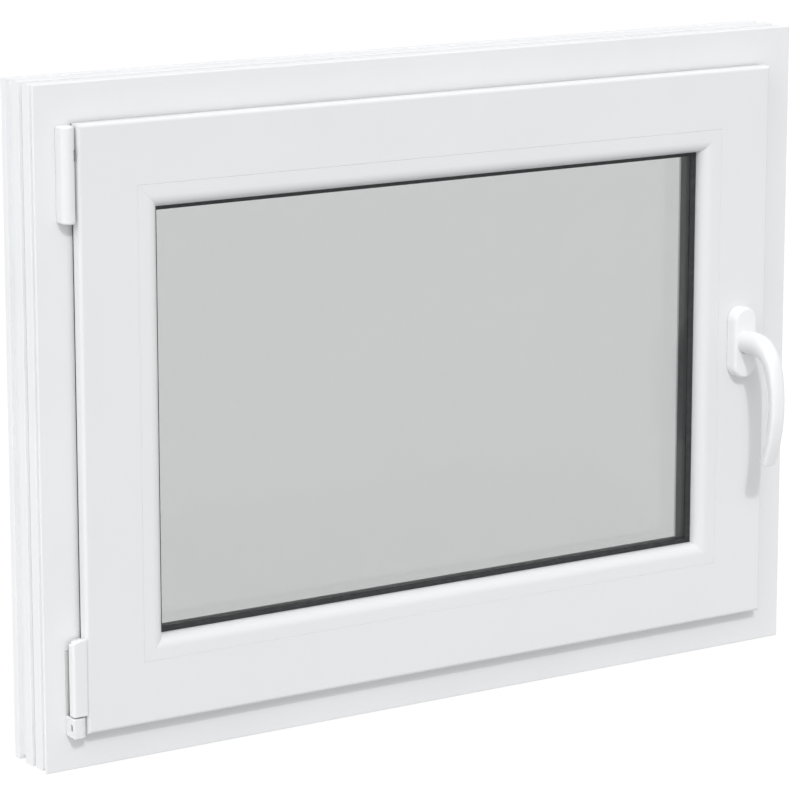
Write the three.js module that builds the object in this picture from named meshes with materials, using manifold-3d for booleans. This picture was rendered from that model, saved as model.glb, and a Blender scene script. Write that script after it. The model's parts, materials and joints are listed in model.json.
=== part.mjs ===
// A tilt-and-turn casement window: a plastic frame and sash with double glazing, hinges on the left,
// a lever handle on the right, and the drive gear in the sash's hardware groove.
//
// Everything is drawn in window coordinates, in millimetres: X from the frame's left edge, Y from its room
// face towards the outside, Z up from its bottom. The exported group moves the origin to the middle of
// the frame's bottom. "Inset" is the distance inwards from the frame's outer edge, the same on all four sides.
import * as THREE from "three";
import { mergeVertices } from "three/addons/utils/BufferGeometryUtils.js";
import Module from "manifold-3d";

const wasm = await Module();
wasm.setup();

// ---- Driving dimensions ------------------------------------------------------------------------------

const WIDTH = 800;
const HEIGHT = 600;
const DEPTH = 60;
const GAP = 0.3;                // between pieces that touch

// Insets
const FRAME_REBATE = 40;        // the frame's opening
const FRAME_LEG = 62;           // end of the frame's outside leg
const SASH_EDGE = 34;           // outer edge of the sash lip, which overlaps the frame
const SASH_GROOVE = 50;         // the sash's edge face, where the hardware lies
const BEAD_EDGE = 90;           // joint between sash face and glazing bead
const GLASS_EDGE = 111;         // inner edge of the bead
const LEG_EDGE = 108;           // inner edge of the outside leg
const PANE_EDGE = 96.5;         // cut edge of the panes
const SPACER_EDGE = 112.2;      // inner edge of the spacer bar

// Depths
const SASH_FACE = -15;
const LIP_BACK = -3.5;
const SASH_BACK = 45;
const PANE = 4;
const CAVITY = 16;
const OUTER_PANE = PANE + CAVITY;
const UNIT_BACK = OUTER_PANE + PANE;
const GROOVE_Y = 9.5;           // centre line of the hardware groove

// Hinges
const AXIS_X = 26.5;
const AXIS_Y = -9;
const BARREL_R = 6.4;           // outside of the hinge covers
const PIVOT_Z = 37.6;           // ball of the bottom hinge
const EYE_R = 4.6;
const PIN_R = 2.4;
const STRAP_NEAR = 6.8;         // straps pass the axis between these two distances
const STRAP_FAR = 8.7;
const EYE_LOW = 536;
const EYE_HIGH = 544;
const STAY_LOW = 553.6;
const STAY_HIGH = 556.4;
const STAY_LENGTH = 250;

// Handle and gear
const HANDLE_X = 734;
const HANDLE_Z = 305;
const SCREW_SPACING = 43;
const SPINDLE = 7;
const TEETH = 12;
const MODULE = 1.9;
const PITCH_R = TEETH * MODULE / 2;
const ADDENDUM = 1.3;
const DEDENDUM = 1.9;
const PRESSURE_ANGLE = THREE.MathUtils.degToRad(20);
const TOOTH_PLAY = 0.35;        // taken off each tooth's thickness
const ROD_TRAVEL = PITCH_R * Math.PI;

// The hardware groove, as insets
const PLATE_TOP = SASH_GROOVE + 0.2;
const PLATE_BOTTOM = SASH_GROOVE + 1.9;
const ROD_TOP = SASH_GROOVE + 2.2;
const ROD_BOTTOM = SASH_GROOVE + 4.5;
const GROOVE_FLOOR = SASH_GROOVE + 10;
const CAM_REACH = SASH_GROOVE - 6.4;
const CAM_R = 4.5;
const CORNER_REACH = 50;        // how far a corner drive runs along each side
const STAY_RAIL_END = 335;

// ---- Materials ---------------------------------------------------------------------------------------

const finish = (color, roughness, metalness) => () => new THREE.MeshStandardMaterial({ color, roughness, metalness });
const plastic = finish(0xf1f2f3, 0.35, 0);
const steel = finish(0xb4b6b8, 0.4, 0.9);
const gasketRubber = finish(0x26282a, 0.7, 0);
const glass = finish(0xc9cbcb, 0.05, 0);
const blackBar = finish(0x1c1d1e, 0.5, 0);
const packer = finish(0x3a6fa8, 0.5, 0);
const zincCast = finish(0x9a9c9e, 0.5, 0.8);

// ---- Solids ------------------------------------------------------------------------------------------

function toSolid(geometry) {
  const bare = geometry.clone();
  bare.deleteAttribute("normal");
  bare.deleteAttribute("uv");
  const merged = mergeVertices(bare, 1e-4);
  const vertProperties = new Float32Array(merged.attributes.position.array);
  const triVerts = new Uint32Array(merged.index.array);
  return new wasm.Manifold(new wasm.Mesh({ numProp: 3, vertProperties, triVerts }));
}

function fromSolid(solid) {
  const mesh = solid.getMesh();
  const geometry = new THREE.BufferGeometry();
  geometry.setAttribute("position", new THREE.BufferAttribute(new Float32Array(mesh.vertProperties), 3));
  geometry.setIndex(new THREE.BufferAttribute(new Uint32Array(mesh.triVerts), 1));
  return geometry;
}

// The first geometry, with the others in `added` joined on and those in `cut` taken away.
function carve(first, { added = [], cut = [] }) {
  const joined = added.reduce((solid, geometry) => solid.add(toSolid(geometry)), toSolid(first));
  return fromSolid(cut.reduce((solid, geometry) => solid.subtract(toSolid(geometry)), joined));
}

function block([x0, x1], [y0, y1], [z0, z1]) {
  const geometry = new THREE.BoxGeometry(x1 - x0, y1 - y0, z1 - z0);
  return geometry.translate((x0 + x1) / 2, (y0 + y1) / 2, (z0 + z1) / 2);
}

function uprightRod(radius, [x, y], [z0, z1], sides = 20) {
  const geometry = new THREE.CylinderGeometry(radius, radius, z1 - z0, sides);
  return geometry.rotateX(Math.PI / 2).translate(x, y, (z0 + z1) / 2);
}

function depthRod(radius, [x, z], [y0, y1], sides = 20) {
  const geometry = new THREE.CylinderGeometry(radius, radius, y1 - y0, sides);
  return geometry.translate(x, (y0 + y1) / 2, z);
}

function sidewaysRod(radius, [y, z], [x0, x1], sides = 16) {
  const geometry = new THREE.CylinderGeometry(radius, radius, x1 - x0, sides);
  return geometry.rotateZ(Math.PI / 2).translate((x0 + x1) / 2, y, z);
}

function outlineShape(points) {
  return new THREE.Shape(points.map(([x, y]) => new THREE.Vector2(x, y)));
}

// An outline in X and Y, from z0 up to z1.
function upright(points, [z0, z1]) {
  const options = { depth: z1 - z0, bevelEnabled: false };
  return new THREE.ExtrudeGeometry(outlineShape(points), options).translate(0, 0, z0);
}

// An outline in X and Z, from y0 back to y1.
function upstanding(points, [y0, y1]) {
  const options = { depth: y1 - y0, bevelEnabled: false };
  return new THREE.ExtrudeGeometry(outlineShape(points), options).rotateX(Math.PI / 2).translate(0, y1, 0);
}

function rectangle(x0, x1, y0, y1) {
  return [[x0, y0], [x1, y0], [x1, y1], [x0, y1]];
}

// Points on an arc about a centre, angles in degrees.
function arc([x, y], radius, from, to, steps) {
  return Array.from({ length: steps + 1 }, (_, i) => {
    const angle = THREE.MathUtils.degToRad(from + (to - from) * i / steps);
    return [x + radius * Math.cos(angle), y + radius * Math.sin(angle)];
  });
}

// ---- Profiles: a section in inset and depth, run along one side of the window -------------------------

const SIDES = {
  bottom: { corner: [0, 0, 0], turn: 0, length: WIDTH },
  right: { corner: [WIDTH, 0, 0], turn: -Math.PI / 2, length: HEIGHT },
  top: { corner: [WIDTH, 0, HEIGHT], turn: Math.PI, length: WIDTH },
  left: { corner: [0, 0, HEIGHT], turn: Math.PI / 2, length: HEIGHT },
};
const MITRE_GAP = GAP / Math.SQRT2;

// A bar along +X with 45 degree ends. The section's inset becomes Z, its depth Y.
function mitredBar(section, length, endGap = MITRE_GAP) {
  const shape = outlineShape(section.map(([inset, depth]) => [-inset, depth]));
  const geometry = new THREE.ExtrudeGeometry(shape, { depth: 1, bevelEnabled: false });
  geometry.rotateY(Math.PI / 2);
  const place = geometry.attributes.position;
  for (let i = 0; i < place.count; i += 1) {
    const cutBack = place.getZ(i) + endGap;
    place.setX(i, place.getX(i) < 0.5 ? cutBack : length - cutBack);
  }
  return geometry;
}

// A bar with chambers that run its whole length.
function hollowBar(section, chambers, length, endGap = MITRE_GAP) {
  const cut = chambers.map((chamber) => mitredBar(chamber, length, endGap - 1));
  return carve(mitredBar(section, length, endGap), { cut });
}

// The same section run right round the window as one closed ring.
function mitredRing(section) {
  const bars = Object.values(SIDES).map(({ corner, turn, length }) =>
    toSolid(mitredBar(section, length, 0).rotateY(turn).translate(...corner)));
  return fromSolid(bars.reduce((ring, bar) => ring.add(bar)));
}

// Geometry drawn in window coordinates, brought into a side's own bar coordinates.
function inBarOf(side, geometry) {
  const { corner, turn } = SIDES[side];
  return geometry.translate(-corner[0], -corner[1], -corner[2]).rotateY(-turn);
}

function mesh(name, geometry, material) {
  const piece = new THREE.Mesh(geometry, material());
  piece.name = name;
  return piece;
}

// A mesh drawn in a side's own bar coordinates, put in place on that side.
function alongSide(name, side, geometry, material) {
  const piece = mesh(name, geometry, material);
  piece.position.set(...SIDES[side].corner);
  piece.rotation.y = SIDES[side].turn;
  return piece;
}

function barMesh(name, side, geometry, material) {
  return alongSide(`${name}_${side}`, side, geometry, material);
}

// ---- Frame -------------------------------------------------------------------------------------------

const FRAME_SECTION = [
  [0, 0], [FRAME_REBATE, 0], [FRAME_REBATE, 49],
  [56.2, 49], [56.2, 51.3], [58.8, 51.3], [58.8, 49], [FRAME_LEG, 49], [FRAME_LEG, 57], [59, DEPTH],
  // outer perimeter: flat ribs with clip grooves between them
  [0, DEPTH], [0, 51], [4, 51], [4, 40], [0, 40], [0, 26.4], [4, 26.4], [4, 22], [1, 22], [1, 9],
  [3, 9], [3, 2.2], [0, 2.2],
];
const FRAME_CHAMBERS = [
  rectangle(5.5, 37.5, 2.5, 13),
  rectangle(6.5, 37.5, 15.5, 38),
  rectangle(6.5, 37.5, 40.5, 48.6),
  rectangle(6.5, 53.5, 51.5, 57.5),
];
const FRAME_STEEL = rectangle(7, 37, 16, 37.5);
const FRAME_STEEL_BORE = rectangle(8.5, 35.5, 17.5, 36);
const STEEL_CUT_BACK = 12;

function frameProfile(side) {
  const bar = hollowBar(FRAME_SECTION, FRAME_CHAMBERS, SIDES[side].length);
  if (side !== "bottom") return bar;
  // drainage slots through the outside wall
  const slots = [150, 400, 650].map((x) => block([x - 13, x + 13], [56, DEPTH + 1], [44, 49]));
  return carve(bar, { cut: slots });
}

function frameGasket() {
  return mitredRing([[56.5, 51], [56.5, 48.7], [54, 48.7], [53, SASH_BACK + GAP], [60.5, SASH_BACK + GAP],
    [60, 48.7], [58.5, 48.7], [58.5, 51]]);
}

// A striker is a plate on the frame's rebate, with a raised ramp past each end of its cam's travel.
function striker(length) {
  const top = FRAME_REBATE + GAP;
  const outline = [[-length / 2, top], [length / 2, top], [length / 2, top + 5], [length / 2 - 5, top + 5],
    [length / 2 - 8, top + 2.2], [8 - length / 2, top + 2.2], [5 - length / 2, top + 5], [-length / 2, top + 5]];
  return upstanding(outline, [-8, 8]);
}

// ---- Hinges ------------------------------------------------------------------------------------------

const AXIS = [AXIS_X, AXIS_Y];

// A D-shaped outline round the hinge axis, open towards the frame's face.
function barrelOutline(radius, back) {
  return [...arc(AXIS, radius, 180, 360, 12), [AXIS_X + radius, back], [AXIS_X - radius, back]];
}

function hingeCover([low, high], wall, openEnds = []) {
  const shell = upright(barrelOutline(BARREL_R, -GAP), [low, high]);
  const inside = upright(barrelOutline(BARREL_R - wall, 1), [
    openEnds.includes("low") ? low - 1 : low + wall,
    openEnds.includes("high") ? high + 1 : high - wall,
  ]);
  return { shell, inside };
}

const BRACKET_PLATE = 2.2;
const BRACKET_BACK = [-GAP - BRACKET_PLATE, -GAP];

function stayBearing() {
  const plate = block([AXIS_X - 4.7, AXIS_X + 4.7], BRACKET_BACK, [486, 562]);
  const lugs = [[498, EYE_LOW - 0.6], [EYE_HIGH + 0.6, 561]].flatMap((span) => [
    uprightRod(EYE_R, AXIS, span),
    block([AXIS_X - 2.5, AXIS_X + 2.5], [AXIS_Y, -1], span),
  ]);
  const bore = uprightRod(PIN_R + GAP, AXIS, [480, 570]);
  const armPath = block([AXIS_X - 1.6, AXIS_X + 8], [-12, 1], [EYE_LOW - 0.6, EYE_HIGH + 0.6]);
  return carve(plate, { added: lugs, cut: [bore, armPath] });
}

function stayCover() {
  const { shell, inside } = hingeCover([481.5, 565], 1.2);
  const armPath = block([AXIS_X - 1, AXIS_X + 8], [AXIS_Y - 5, 1], [EYE_LOW - 1, EYE_HIGH + 1]);
  return carve(shell, { cut: [inside, armPath] });
}

// The stay arm: an eye on the top hinge pin, a strap behind the sash lip, and a flat arm over the sash.
function stayArm() {
  const eye = uprightRod(EYE_R, AXIS, [EYE_LOW, EYE_HIGH]);
  const web = block([AXIS_X - 1.3, AXIS_X + 3], [AXIS_Y + 1, AXIS_Y + STRAP_FAR], [EYE_LOW, EYE_HIGH]);
  const strapOutline = [[AXIS_X, EYE_LOW], [AXIS_X + 20, EYE_LOW], [AXIS_X + 20, STAY_HIGH],
    [AXIS_X + 16.5, STAY_HIGH], [AXIS_X + 16.5, EYE_HIGH], [AXIS_X, EYE_HIGH]];
  const strap = upstanding(strapOutline, [AXIS_Y + STRAP_NEAR, AXIS_Y + STRAP_FAR]);
  const pinX = AXIS_X + STAY_LENGTH;
  const near = GROOVE_Y - 5.5;
  const far = GROOVE_Y + 5.5;
  const armOutline = [[AXIS_X + 16.5, AXIS_Y + STRAP_NEAR], [AXIS_X + 20, AXIS_Y + STRAP_NEAR], [AXIS_X + 45, near],
    ...arc([pinX, GROOVE_Y], 5.5, -90, 90, 8), [AXIS_X + 40, far], [AXIS_X + 16.5, AXIS_Y + 14]];
  const arm = upright(armOutline, [STAY_LOW, STAY_HIGH]);
  const slider = uprightRod(3, [pinX, GROOVE_Y], [HEIGHT - PLATE_BOTTOM - 3.6, STAY_LOW + 1]);
  const bore = uprightRod(PIN_R + GAP, AXIS, [EYE_LOW - 1, EYE_HIGH + 1]);
  return carve(eye, { added: [web, strap, arm, slider], cut: [bore] });
}

const CUP_TOP = 49.5;
const CUP_R = 4.9;
const CUP_BORE = 4.2;
const BALL_R = 3.2;

const CUP_LOW = 33.4;

// The bottom hinge's half on the frame: a cup for the ball, and a plate that runs up behind the sleeve.
function cornerBearing() {
  const plate = block([AXIS_X - 6.3, AXIS_X - 2.4], BRACKET_BACK, [CUP_LOW, 108.6]);
  const foot = block([AXIS_X - 5, AXIS_X + 4.9], BRACKET_BACK, [CUP_LOW, CUP_TOP]);
  const cup = uprightRod(CUP_R, AXIS, [CUP_LOW, CUP_TOP], 24);
  const web = block([AXIS_X - 4, AXIS_X + 4], [AXIS_Y, -1], [CUP_LOW, CUP_TOP]);
  const bore = uprightRod(CUP_BORE, AXIS, [PIVOT_Z - BALL_R - GAP, CUP_TOP + 1], 24);
  return carve(plate, { added: [foot, cup, web], cut: [bore] });
}

// A block that is square on the left and follows the swing of the sash on the right.
function bearingBlockOutline(inset, back) {
  const reach = 7.1 - inset;
  const left = AXIS_X - 6.5 + inset;
  return [[left, AXIS_Y - reach + 0.9], [left + 0.7, AXIS_Y - reach], ...arc(AXIS, reach, 270, 360, 8),
    [AXIS_X + reach, back], [left, back]];
}

function cornerBearingCover() {
  const shell = upright(bearingBlockOutline(0, -GAP), [CUP_LOW - 1.2, 50]);
  const inside = upright(bearingBlockOutline(1.1, 1), [CUP_LOW - 0.1, 51]);
  const plateWay = block([AXIS_X - 7, AXIS_X + 1], [BRACKET_BACK[0] - GAP, 1], [CUP_LOW - 0.1, 51]);
  return carve(shell, { cut: [inside, plateWay] });
}

function cornerSwivel() {
  return new THREE.SphereGeometry(BALL_R, 18, 12).translate(AXIS_X, AXIS_Y, PIVOT_Z);
}

const HINGE_LOW = 55;
const HINGE_HIGH = 116;
const STRAP_SPAN = [62, 100];

// The sash half of the bottom hinge: a barrel, a strap behind the lip and a leg on the sash's edge.
function cornerHinge() {
  const barrel = uprightRod(EYE_R, AXIS, [HINGE_LOW, HINGE_HIGH]);
  const web = block([AXIS_X - 2, AXIS_X + 2], [AXIS_Y + 1, AXIS_Y + STRAP_FAR], STRAP_SPAN);
  const strap = block([AXIS_X - 2, SASH_GROOVE - GAP], [AXIS_Y + STRAP_NEAR, AXIS_Y + STRAP_FAR], STRAP_SPAN);
  const leg = block([SASH_GROOVE - 2.5, SASH_GROOVE - GAP], [AXIS_Y + STRAP_NEAR, 30], STRAP_SPAN);
  const bore = uprightRod(PIN_R + GAP, AXIS, [HINGE_LOW - 1, HINGE_HIGH + 1]);
  return carve(barrel, { added: [web, strap, leg], cut: [bore] });
}

// A sleeve over the barrel, square where it meets the sash and open at the back where the strap leaves it.
function cornerHingeCover() {
  const front = AXIS_Y - 6.9;
  const side = SASH_EDGE - GAP;
  const rounding = BARREL_R - 0.1;
  const outline = [[side, AXIS_Y + 5.2], [AXIS_X + 3.6, AXIS_Y + 5.2], ...arc(AXIS, rounding, 55, 180, 8),
    ...arc([AXIS_X, front + rounding], rounding, 180, 270, 6), [side, front]];
  const sleeve = upright(outline, [51.5, 120.5]);
  const inside = uprightRod(EYE_R + GAP, AXIS, [50, 119], 24);
  const opening = block([AXIS_X - 3, AXIS_X + 9], [AXIS_Y + 1, AXIS_Y + 8], [50, 119]);
  return carve(sleeve, { cut: [inside, opening] });
}

// ---- Sash --------------------------------------------------------------------------------------------

const SASH_SECTION = [
  [SASH_EDGE, LIP_BACK], ...arc([SASH_EDGE + 3, SASH_FACE + 3], 3, 180, 270, 4),
  [BEAD_EDGE, SASH_FACE], [BEAD_EDGE, -11], [87.5, -11], [87.5, -7.5], [BEAD_EDGE, -7.5],
  // gasket groove and sloping inner face of the outside leg
  [BEAD_EDGE, UNIT_BACK + 3], [101.6, UNIT_BACK + 3], [101.6, UNIT_BACK + 5.6], [104.2, UNIT_BACK + 5.6],
  [104.2, UNIT_BACK + 3], [LEG_EDGE, UNIT_BACK + 3], [101.5, 40], [99.5, SASH_BACK],
  [SASH_GROOVE, SASH_BACK],
  // hardware groove: a step for the faceplates and a channel for the drive rods
  [SASH_GROOVE, GROOVE_Y + 10], [SASH_GROOVE + 2.2, GROOVE_Y + 10], [SASH_GROOVE + 2.2, GROOVE_Y + 6],
  [GROOVE_FLOOR, GROOVE_Y + 6], [GROOVE_FLOOR, GROOVE_Y - 6], [SASH_GROOVE + 2.2, GROOVE_Y - 6],
  [SASH_GROOVE + 2.2, GROOVE_Y - 10], [SASH_GROOVE, GROOVE_Y - 10], [SASH_GROOVE, LIP_BACK],
  // gasket groove in the back of the lip
  [38.8, LIP_BACK], [38.8, LIP_BACK - 2.6], [36.2, LIP_BACK - 2.6], [36.2, LIP_BACK],
];
const SASH_CHAMBERS = [
  rectangle(44, 84.8, -12.4, -3),
  rectangle(63, 87.4, -0.5, 16.5),
  rectangle(63, 87.4, 18.8, 36),
  rectangle(52.5, 60.5, 22, 42.5),
  rectangle(63, 97.5, 38.4, 42.5),
];
const SASH_STEEL = rectangle(63.5, 86.9, 19.3, 35.5);
const SASH_STEEL_BORE = rectangle(65, 85.4, 20.8, 34);

function sashProfile(side) {
  const bar = hollowBar(SASH_SECTION, SASH_CHAMBERS, SIDES[side].length);
  if (side !== "right") return bar;
  const pocket = block([HANDLE_X - 16, HANDLE_X + 17], [0.8, 17.2], [HANDLE_Z - 33, HANDLE_Z + 33]);
  const holes = [[0, 6.5], [SCREW_SPACING / 2, 5], [-SCREW_SPACING / 2, 5]].map(([rise, radius]) =>
    depthRod(radius, [HANDLE_X, HANDLE_Z + rise], [SASH_FACE - 1, 2]));
  return carve(bar, { cut: [pocket, ...holes].map((cutter) => inBarOf(side, cutter)) });
}

function sashGasket() {
  // The lip lies just inside the sash's edge. It stands back there, so that it clears the frame in the tilt.
  const ring = mitredRing([[36.4, LIP_BACK - 2.3], [36.4, LIP_BACK + GAP], [SASH_EDGE + 0.7, LIP_BACK + GAP],
    [SASH_EDGE + 0.7, -0.9], [39.2, -0.5], [39.2, LIP_BACK + GAP], [38.6, LIP_BACK + GAP],
    [38.6, LIP_BACK - 2.3]]);
  const straps = [[EYE_LOW - 1, EYE_HIGH + 1], [STRAP_SPAN[0] - 1, STRAP_SPAN[1] + 1]];
  return carve(ring, { cut: straps.map((span) => block([30, 42], [LIP_BACK - 0.1, 1], span)) });
}

const BEAD_BACK = -2;
const BEAD_SECTION = [
  [BEAD_EDGE + GAP, SASH_FACE + 0.6], [BEAD_EDGE + 0.9, SASH_FACE], [100, SASH_FACE],
  ...arc([100.5, -4.5], 10.5, -90, -8, 6), [GLASS_EDGE, -3.9], [GLASS_EDGE, BEAD_BACK], [93, BEAD_BACK],
  [93, -7.8], [87.8, -7.8], [87.8, -10.7], [BEAD_EDGE + GAP, -10.7],
];
const BEAD_CHAMBER = rectangle(95, 103, -12, -4.5);

// The inner gasket is clipped under the bead, with a lip that shows as a dark line round the glass. The outer
// one is clipped into the sash's outside leg.
const GASKET_LIP = 115.2;
const BEAD_SIDE = GLASS_EDGE + GAP;
const INNER_GASKET = [
  [105, BEAD_BACK + GAP], [BEAD_SIDE, BEAD_BACK + GAP], [BEAD_SIDE, -3.6], [GASKET_LIP, -0.7], [GASKET_LIP, -GAP],
  [105, -GAP],
];
const OUTER_GASKET = [
  [100, UNIT_BACK + GAP], [LEG_EDGE + 1.5, UNIT_BACK + GAP], [LEG_EDGE + 1.5, UNIT_BACK + 1],
  [LEG_EDGE, UNIT_BACK + 2.7], [103.9, UNIT_BACK + 2.7], [103.9, UNIT_BACK + 5.2], [101.9, UNIT_BACK + 5.2],
  [101.9, UNIT_BACK + 2.7], [100, UNIT_BACK + 2.7],
];

function pane(depth) {
  return block([PANE_EDGE, WIDTH - PANE_EDGE], [depth, depth + PANE], [PANE_EDGE, HEIGHT - PANE_EDGE]);
}

// The spacer bar between the panes, with the sealant behind it.
function spacerBar() {
  return mitredRing(rectangle(PANE_EDGE + 1, SPACER_EDGE, PANE + GAP, OUTER_PANE - GAP));
}

function settingBlock(x) {
  return block([x - 50, x + 50], [0.5, UNIT_BACK - 0.5], [BEAD_EDGE + GAP, PANE_EDGE - GAP]);
}

// ---- Faceplates and drive gear -----------------------------------------------------------------------

const PLATE_HALF = 9.7;

// A faceplate is drawn along +X with its inset as Z, with slots cut through for cams or the stay's slider.
function faceplate([from, to], slots) {
  const across = (half) => [GROOVE_Y - half, GROOVE_Y + half];
  const cut = slots.map((slot) => block(slot, across(CAM_R + 0.6), [PLATE_TOP - 1, PLATE_BOTTOM + 1]));
  return carve(block([from, to], across(PLATE_HALF), [PLATE_TOP, PLATE_BOTTOM]), { cut });
}

// An L of faceplate round a corner of the sash, drawn at the window's bottom right.
function cornerDrive() {
  const outer = PLATE_TOP;
  const inner = PLATE_BOTTOM;
  const far = SASH_GROOVE + CORNER_REACH;
  const outline = [[WIDTH - far, outer], [WIDTH - outer, outer], [WIDTH - outer, far], [WIDTH - inner, far],
    [WIDTH - inner, inner], [WIDTH - far, inner]];
  return upstanding(outline, [GROOVE_Y - PLATE_HALF, GROOVE_Y + PLATE_HALF]);
}

const ROD_HALF = 5;

// A drive rod along +X with its inset as Z, and a cam standing up through the faceplate at each place given.
function driveRod([from, to], cams) {
  const bar = block([from, to], [GROOVE_Y - ROD_HALF, GROOVE_Y + ROD_HALF], [ROD_TOP, ROD_BOTTOM]);
  return carve(bar, { added: cams.map((x) => uprightRod(CAM_R, [x, GROOVE_Y], [CAM_REACH, ROD_TOP + 1], 16)) });
}

// Involute tooth flanks for a pinion standing on its centre, with a rack tooth space on its +X side.
function pinionOutline() {
  const base = PITCH_R * Math.cos(PRESSURE_ANGLE);
  const involute = (radius) => {
    const angle = Math.acos(Math.min(1, base / radius));
    return Math.tan(angle) - angle;
  };
  const halfAtPitch = Math.PI / (2 * TEETH) - TOOTH_PLAY / (2 * PITCH_R);
  const halfAt = (radius) => halfAtPitch + involute(PITCH_R) - involute(Math.max(radius, base));
  const radii = [PITCH_R - DEDENDUM, base, PITCH_R, PITCH_R + ADDENDUM];
  return Array.from({ length: TEETH }, (_, tooth) => {
    const middle = 2 * Math.PI * (tooth + 0.5) / TEETH;
    const rising = radii.map((radius) => [radius, middle - halfAt(radius)]);
    const falling = radii.slice().reverse().map((radius) => [radius, middle + halfAt(radius)]);
    return [...rising, ...falling].map(([radius, angle]) => [radius * Math.cos(angle), radius * Math.sin(angle)]);
  }).flat();
}

const SPINDLE_HOLE = [-SPINDLE / 2 - GAP, SPINDLE / 2 + GAP];

function drivePinion() {
  return carve(upstanding(pinionOutline(), [-4.7, 4.7]), { cut: [block(SPINDLE_HOLE, [-6, 6], SPINDLE_HOLE)] });
}

const RACK_X = HANDLE_X + PITCH_R;
const RACK_TEETH = 11;

// The right drive rod, with the rack that the pinion drives. A rack tooth stands level with the axis.
function rackRod([from, to], cams) {
  const pitch = Math.PI * MODULE;
  const half = pitch / 4 - TOOTH_PLAY / 2;
  const slope = Math.tan(PRESSURE_ANGLE);
  const rootX = RACK_X + DEDENDUM;
  const back = WIDTH - ROD_TOP;
  const first = -2;
  const teeth = Array.from({ length: RACK_TEETH }, (_, i) => {
    const z = HANDLE_Z + (first + i) * pitch;
    const tip = half - ADDENDUM * slope;
    const root = half + DEDENDUM * slope;
    return [[rootX, z - root], [RACK_X - ADDENDUM, z - tip], [RACK_X - ADDENDUM, z + tip], [rootX, z + root]];
  }).flat();
  const low = teeth[0][1] - 1;
  const high = teeth[teeth.length - 1][1] + 1;
  const plain = WIDTH - ROD_BOTTOM;
  const outline = [[back, from], [back, to], [plain, to], [plain, high], [rootX, high],
    ...teeth.slice().reverse(), [rootX, low], [plain, low], [plain, from]];
  const rod = upstanding(outline.reverse(), [GROOVE_Y - ROD_HALF + 0.3, GROOVE_Y + ROD_HALF - 0.3]);
  const studs = cams.map((z) => sidewaysRod(CAM_R, [GROOVE_Y, z], [back - 1, WIDTH - CAM_REACH]));
  return carve(rod, { added: studs });
}

function gearboxHousing() {
  const high = WIDTH - ROD_TOP - 0.1;
  const box = block([HANDLE_X - 15.5, high], [1.2, 16.8], [HANDLE_Z - 32, HANDLE_Z + 32]);
  const cavity = depthRod(PITCH_R + ADDENDUM + 0.6, [HANDLE_X, HANDLE_Z], [GROOVE_Y - 5.2, GROOVE_Y + 5.2], 28);
  const rodSlot = block([RACK_X - ADDENDUM - 0.5, high + 1], [GROOVE_Y - 5.4, GROOVE_Y + 5.4], [200, 400]);
  const spindleHole = depthRod(5.5, [HANDLE_X, HANDLE_Z], [0, 18]);
  const screwHoles = [1, -1].map((sign) =>
    depthRod(PIN_R + GAP + 0.1, [HANDLE_X, HANDLE_Z + sign * SCREW_SPACING / 2], [0, 14]));
  return carve(box, { cut: [cavity, rodSlot, spindleHole, ...screwHoles] });
}

// ---- Handle ------------------------------------------------------------------------------------------

const ROSETTE_WIDTH = 27;
const ROSETTE_HEIGHT = 69;
const ROSETTE_DEPTH = 12;
const NECK_R = 9.8;
const NECK_HOLE_R = 10.2;
const GRIP_WIDTH = 15.5;
const GRIP_THICKNESS = 9.5;
const GRIP_ROUNDING = 4;

function stadium(width, height, steps = 10) {
  const radius = width / 2;
  const rise = height / 2 - radius;
  return [...arc([0, rise], radius, 0, 180, steps), ...arc([0, -rise], radius, 180, 360, steps)];
}

function rosetteCover() {
  const face = SASH_FACE - GAP;
  const shell = upstanding(stadium(ROSETTE_WIDTH, ROSETTE_HEIGHT), [face - ROSETTE_DEPTH, face]);
  const inside = upstanding(stadium(ROSETTE_WIDTH - 3, ROSETTE_HEIGHT - 3), [face - ROSETTE_DEPTH + 2, face + 1]);
  const neckHole = depthRod(NECK_HOLE_R, [0, 0], [face - ROSETTE_DEPTH - 1, face], 32);
  return carve(shell, { cut: [inside, neckHole] });
}

const ROSETTE_BASE = [SASH_FACE - GAP - 2.5, SASH_FACE - GAP];

function rosetteBase() {
  const plate = upstanding(stadium(ROSETTE_WIDTH - 4, ROSETTE_HEIGHT - 4), ROSETTE_BASE);
  const holes = [[0, 6], [SCREW_SPACING / 2, PIN_R + GAP], [-SCREW_SPACING / 2, PIN_R + GAP]].map(([z, radius]) =>
    depthRod(radius, [0, z], [ROSETTE_BASE[0] - 1, ROSETTE_BASE[1] + 1]));
  return carve(plate, { cut: holes });
}

function handleScrew(sign) {
  const at = [0, sign * SCREW_SPACING / 2];
  const head = depthRod(4.4, at, [ROSETTE_BASE[0] - GAP - 3, ROSETTE_BASE[0] - GAP]);
  const shank = depthRod(PIN_R, at, [ROSETTE_BASE[0] - GAP - 1, 12]);
  return carve(head, { added: [shank] });
}

const LEVER_BACK = ROSETTE_BASE[0] - 1;
const SHOULDER_Y = -53;
// Centre line of the grip in depth and height, from the top of the neck to the free end.
const GRIP_LINE = [[-49, 1], [-57, -4], [-64, -11], [-70.2, -23], [-74, -38.5], [-75.3, -53], [-73.9, -73],
  [-69.5, -93], [-63.2, -112]];

function roundedRectangle(width, height, radius, steps = 3) {
  const x = width / 2 - radius;
  const y = height / 2 - radius;
  return [...arc([x, y], radius, 0, 90, steps), ...arc([-x, y], radius, 90, 180, steps),
    ...arc([-x, -y], radius, 180, 270, steps), ...arc([x, -y], radius, 270, 360, steps)];
}

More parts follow.
